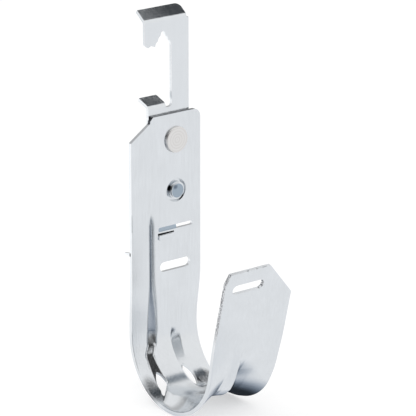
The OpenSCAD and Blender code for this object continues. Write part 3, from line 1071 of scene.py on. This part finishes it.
    def lanced(self) -> list[bpy.types.Object]:
        """Model the tongue under the slit and the barb on the strip's left edge.

        Returns:
            The two small pieces, each bevelled.
        """
        tongue = prism("strip_tongue", self.by_window(self.bulge), -0.4, 0.5, self.upright())
        soften_edges(tongue, 0.0003, 30, 3)
        flank = self.to_part() @ Matrix(((0, 0, 1, 0), (1, 0, 0, 0), (0, 1, 0, 8.4), (0, 0, 0, 1)))
        barb = prism("strip_barb", self.barb, 0.0, 1.0, flank)
        soften_edges(barb, 0.00012, 30)
        for piece in (tongue, barb):
            smooth(piece, 40)
        return [tongue, barb]

    def backs(self) -> tuple[bpy.types.Object, bpy.types.Object]:
        """Model sheets of painted shade where there is only shadow: a near-black one behind the window and a
        grey-blue one behind the left part of the slit.

        Returns:
            The window's back and the slit's back.
        """
        dark = prism("window_back", self.by_window(self.behind_window), -1.5, -0.7, self.upright())
        shade = prism("slit_back", self.by_window(self.behind_slit), -1.4, -0.45, self.upright())
        for piece in (dark, shade):
            soften_edges(piece, 0.0001, 30)
        return dark, shade

    def build(self, finish: bpy.types.Material) -> None:
        """Build and dress the strip.

        Args:
            finish: Its material.
        """
        piece, cutters = self.sheet_mesh(), self.cutters()
        cut = piece.modifiers.new("punched", "BOOLEAN")
        cut.object = cutters
        cut.solver = "EXACT"
        apply_modifiers(piece)
        bpy.data.objects.remove(cutters, do_unlink=True)
        soften_edges(piece, 0.00014, 50)
        smooth(piece, 38)
        dress(piece, finish, Node.HOOK_STRIP)
        for small in self.lanced():
            dress(small, finish, Node.HOOK_STRIP)
        # the sheets of painted shade behind the window and the slit
        for small, shade in zip(self.backs(), (WINDOW_SHADOW_FINISH, SHADE_FINISH)):
            dress(small, shade.build(), Node.HOOK_STRIP)


# ---------------------------------------------------------------- the clip and the rivet


@dataclass
class SoftenedPiece:
    """A piece that keeps the form of its solid, with its edges softened.

    Attributes:
        node: The node that it stands for.
        name: Its name.
        edge: The width of its softened edges, in metres.
        sharp: The angle from which an edge is softened, in degrees.
        segments: The faces across a softened edge.
        shaded: The sharpest edge that is shaded smooth, in degrees.
    """

    node: Node
    name: str
    edge: float
    sharp: float
    segments: int
    shaded: float

    def build(self, finish: bpy.types.Material) -> None:
        """Build and dress the piece.

        Args:
            finish: Its material.
        """
        piece = copy_of(self.node, self.name)
        weld(piece)
        soften_edges(piece, self.edge, self.sharp, self.segments)
        smooth(piece, self.shaded)
        dress(piece, finish, self.node)


@dataclass
class RodClip(SoftenedPiece):
    """The toothed clip with its folded flange, its tab and its stud."""

    node: Node = Node.ROD_CLIP
    name: str = "toothed_clip"
    edge: float = 0.00012
    sharp: float = 32
    segments: int = 2
    shaded: float = 30


@dataclass
class Rivet(SoftenedPiece):
    """The rivet that joins the strip and the clip."""

    node: Node = Node.RIVET
    name: str = "clip_rivet"
    edge: float = 0.00018
    sharp: float = 30
    segments: int = 3
    shaded: float = 40


# ---------------------------------------------------------------- the studio


@dataclass(frozen=True)
class DarkZone:
    """A soft dark zone of the surroundings.

    Attributes:
        toward: The direction from the part to the zone.
        core: The half angle of its darkest part, in degrees.
        rim: The half angle at which it has faded out, in degrees.
        depth: How much of the light it takes away.
    """

    toward: tuple[float, float, float]
    core: float
    rim: float
    depth: float

    def light(self, net: Shading, around: Socket) -> Socket:
        """Give the share of the light that is left in each direction."""
        turned = net.measure("DOT_PRODUCT", around, Vector(self.toward).normalized())
        rim, core = (math.cos(math.radians(angle)) for angle in (self.rim, self.core))
        return net.fade(turned, rim, core, 1.0, 1.0 - self.depth)


@dataclass(frozen=True)
class FloorPatch:
    """A painted patch on the floor, which only polished metal sees: painted shade where its gain is below 1,
    the darkest under the part as its shadow, and painted light where its gain is above 1.

    Attributes:
        middle: Its centre, in metres.
        core: The radius within which it is even.
        rim: The radius at which it has faded out.
        gain: Its brightness against the rest of the floor.
    """

    middle: Point
    core: float
    rim: float
    gain: float

    def light(self, net: Shading, at: Socket) -> Socket:
        """Give its share of the floor's brightness."""
        return net.fade(net.measure("DISTANCE", at, (*self.middle, 0)), self.core, self.rim, self.gain, 1.0)


@dataclass(frozen=True)
class DarkCard:
    """A soft dark card over the part, which only polished metal sees.

    Attributes:
        name: Its name.
        middle: Where its centre hangs.
        size: Its width and depth, in metres.
        level: How bright its middle is.
        fades: The radii between which it fades out, as shares of its size.
        tint: Its colour.
    """

    name: str
    middle: tuple[float, float, float]
    size: Point
    level: float
    fades: Point = (0.36, 0.5)
    tint: Colour = (0.75, 0.87, 1.0, 1.0)

    def build(self) -> None:
        """Hang the card, dark in its middle and clear at its rim."""
        clear_selection()
        bpy.ops.mesh.primitive_plane_add(size=1, location=self.middle)
        card = bpy.context.object
        card.name = self.name
        card.scale = (*self.size, 1)
        card.visible_camera = card.visible_diffuse = card.visible_shadow = False
        material = bpy.data.materials.new(self.name)
        net = Shading(material)
        share = net.fade(net.measure("LENGTH", net.place()), *self.fades)
        dark = net.add("Emission", {"Color": self.tint, "Strength": self.level})
        clear = net.add("BsdfTransparent")
        net.finish("Material", net.add("MixShader", {0: share, 1: dark.outputs[0], 2: clear.outputs[0]}))
        card.data.materials.append(material)


@dataclass(frozen=True)
class Lamp:
    """A square soft lamp, which reflections don't show.

    Attributes:
        name: Its name.
        offset: Its place, measured from the middle of the part.
        size: Its width, in metres.
        power: Its power, in watts.
    """

    name: str
    offset: tuple[float, float, float]
    size: float
    power: float

    def build(self, middle: Vector) -> None:
        """Hang the lamp and turn it to the part.

        Args:
            middle: The middle of the part.
        """
        clear_selection()
        bpy.ops.object.light_add(type="AREA", location=middle + Vector(self.offset))
        lamp = bpy.context.object
        lamp.name = self.name
        lamp.data.size = self.size
        lamp.data.energy = self.power
        lamp.rotation_euler = (-Vector(self.offset)).to_track_quat("-Z", "Y").to_euler()
        lamp.visible_glossy = False


@dataclass
class Studio:
    """Camera, lamps, world and floor.

    Attributes:
        lens: The camera's focal length, in millimetres.
        sensor: The width of its sensor, in millimetres.
        camera_at: Where it stands.
        aim: The point that it looks at.
        level: The brightness of the surroundings for matt surfaces.
        shine: Their brightness, and the floor's, for polished metal.
        floor_size: The width of the floor, in metres.
        floor_gap: The floor's distance below the part.
        floor_grey: The floor's colour.
        floor_glow: The light that it gives of itself.
        patch_tint: The colour of the floor's painted shade where it is darkest.
        zones: The dark zones of the surroundings.
        cards: The dark cards over the part.
        patches: The painted patches of shade and light on the floor.
        lights: The lamps.
    """

    lens: float = 259.41
    sensor: float = 36
    camera_at: tuple[float, float, float] = (-0.72374, -0.9364, 0.30259)
    aim: tuple[float, float, float] = (0.01452, -0.01185, -0.07584)
    level: float = 0.72
    shine: float = 0.95
    floor_size: float = 12
    floor_gap: float = 0.0004
    floor_grey: Colour = (0.62, 0.62, 0.62, 1.0)
    floor_glow: float = 0.5
    patch_tint: Colour = (0.5, 0.66, 0.9, 1.0)
    zones: tuple[DarkZone, ...] = (
        DarkZone((-0.87, -0.10, 0.42), 18, 28, 0.95),
        DarkZone((-0.53, -0.18, 0.83), 8, 18, 0.8),
        DarkZone((-0.79, -0.60, 0.12), 12, 26, 0.75),
        DarkZone((-0.38, -0.91, 0.12), 16, 32, 0.72),
        DarkZone((-0.27, -0.88, 0.38), 13, 27, 0.6),
        DarkZone((0.59, 0.78, 0.20), 6, 24, 0.5),
        DarkZone((0.0, 0.74, 0.67), 8, 28, 0.45),
        DarkZone((0.05, -0.99, 0.08), 10, 26, 0.55),
    )
    cards: tuple[DarkCard, ...] = (
        DarkCard("dark_card_high", (0.43, 0.06, 0.5), (0.3, 0.3), 0.3),
        DarkCard("dark_card_low", (0.108, 0.046, 0.12), (0.13, 0.2), 0.04),
    )
    # Painted shade on the floor under the part, standing for its shadow, and painted shade and light farther
    # off, seen only in reflections.
    patches: tuple[FloorPatch, ...] = (
        FloorPatch((0.018, 0.003), 0.009, 0.027, 0.03),
        FloorPatch((-0.006, 0.004), 0.004, 0.018, 0.62),
        FloorPatch((-0.1, -0.11), 0.06, 0.14, 0.2),
        FloorPatch((-0.27, -0.6), 0.3, 0.5, 0.35),
        FloorPatch((-0.2, 0.25), 0.1, 0.3, 1.3),
    )
    lights: tuple[Lamp, ...] = (
        Lamp("key", (-0.9, -0.6, 1.1), 1.0, 4.2),
        Lamp("fill", (0.9, -1.0, 0.5), 1.0, 3.0),
        Lamp("back", (-0.6, 1.1, 0.7), 0.8, 2.4),
    )

    def camera(self) -> None:
        """Make the camera, a long lens from the front left and a little above."""
        clear_selection()
        bpy.ops.object.camera_add(location=self.camera_at)
        camera = bpy.context.object
        camera.data.lens = self.lens
        camera.data.sensor_width = self.sensor
        camera.data.clip_start, camera.data.clip_end = 0.01, 50
        look = Vector(self.aim) - Vector(self.camera_at)
        camera.rotation_euler = look.to_track_quat("-Z", "Y").to_euler()
        bpy.context.scene.camera = camera

    def world(self) -> None:
        """Build the surroundings: white to the camera, with soft dark zones for polished metal."""
        world = bpy.data.worlds.new("studio")
        bpy.context.scene.world = world
        net = Shading(world)
        around = net.place("Generated")
        mirrored = net.product(*(zone.light(net, around) for zone in self.zones), self.shine)
        path = net.add("LightPath").outputs
        light = net.blend(path["Is Glossy Ray"], self.level, mirrored, "FLOAT")
        seen = net.math("MAXIMUM", path["Is Camera Ray"], path["Is Transmission Ray"])
        strength = net.blend(seen, light, 1.0, "FLOAT")
        net.finish("World", net.add("Background", {"Color": WHITE, "Strength": strength}))

    def floor(self) -> None:
        """Lay the pale floor under the part, with painted patches of shade and light that only polished metal
        sees.
        """
        clear_selection()
        low, high = CAD_BOX
        middle = ((low.x + high.x) / 2, (low.y + high.y) / 2, low.z - self.floor_gap)
        bpy.ops.mesh.primitive_plane_add(size=self.floor_size, location=middle)
        floor = bpy.context.object
        floor.name = "floor"
        material = bpy.data.materials.new("pale_floor")
        net = Shading(material)
        plain = net.add("BsdfDiffuse", {"Color": self.floor_grey})
        glow = net.add("Emission", {"Strength": self.floor_glow})
        matt = net.add("AddShader", {0: plain.outputs[0], 1: glow.outputs[0]})
        at = net.place()
        # painted shade and light on the floor, seen only in reflections
        level = net.product(self.shine, *(patch.light(net, at) for patch in self.patches))
        seen = net.add("Emission", {"Color": net.blend(level, self.patch_tint, WHITE), "Strength": level})
        path = net.add("LightPath").outputs
        inputs = {0: path["Is Glossy Ray"], 1: matt.outputs[0], 2: seen.outputs[0]}
        net.finish("Material", net.add("MixShader", inputs))
        floor.data.materials.append(material)

    def build(self) -> None:
        """Set up the whole studio."""
        bpy.context.scene.view_settings.view_transform = "Standard"
        for card in self.cards:
            card.build()
        self.camera()
        self.world()
        for lamp in self.lights:
            lamp.build((CAD_BOX[0] + CAD_BOX[1]) / 2)
        self.floor()


def main() -> None:
    """Build the part's pieces and the studio, in order."""
    logging.basicConfig(level=logging.INFO, format="%(name)s %(message)s")
    HookStrip().build(STRIP_FINISH.build())
    RodClip().build(CLIP_FINISH.build())
    Rivet().build(RIVET_FINISH.build())
    Studio().build()


if __name__ == "__main__":
    main()
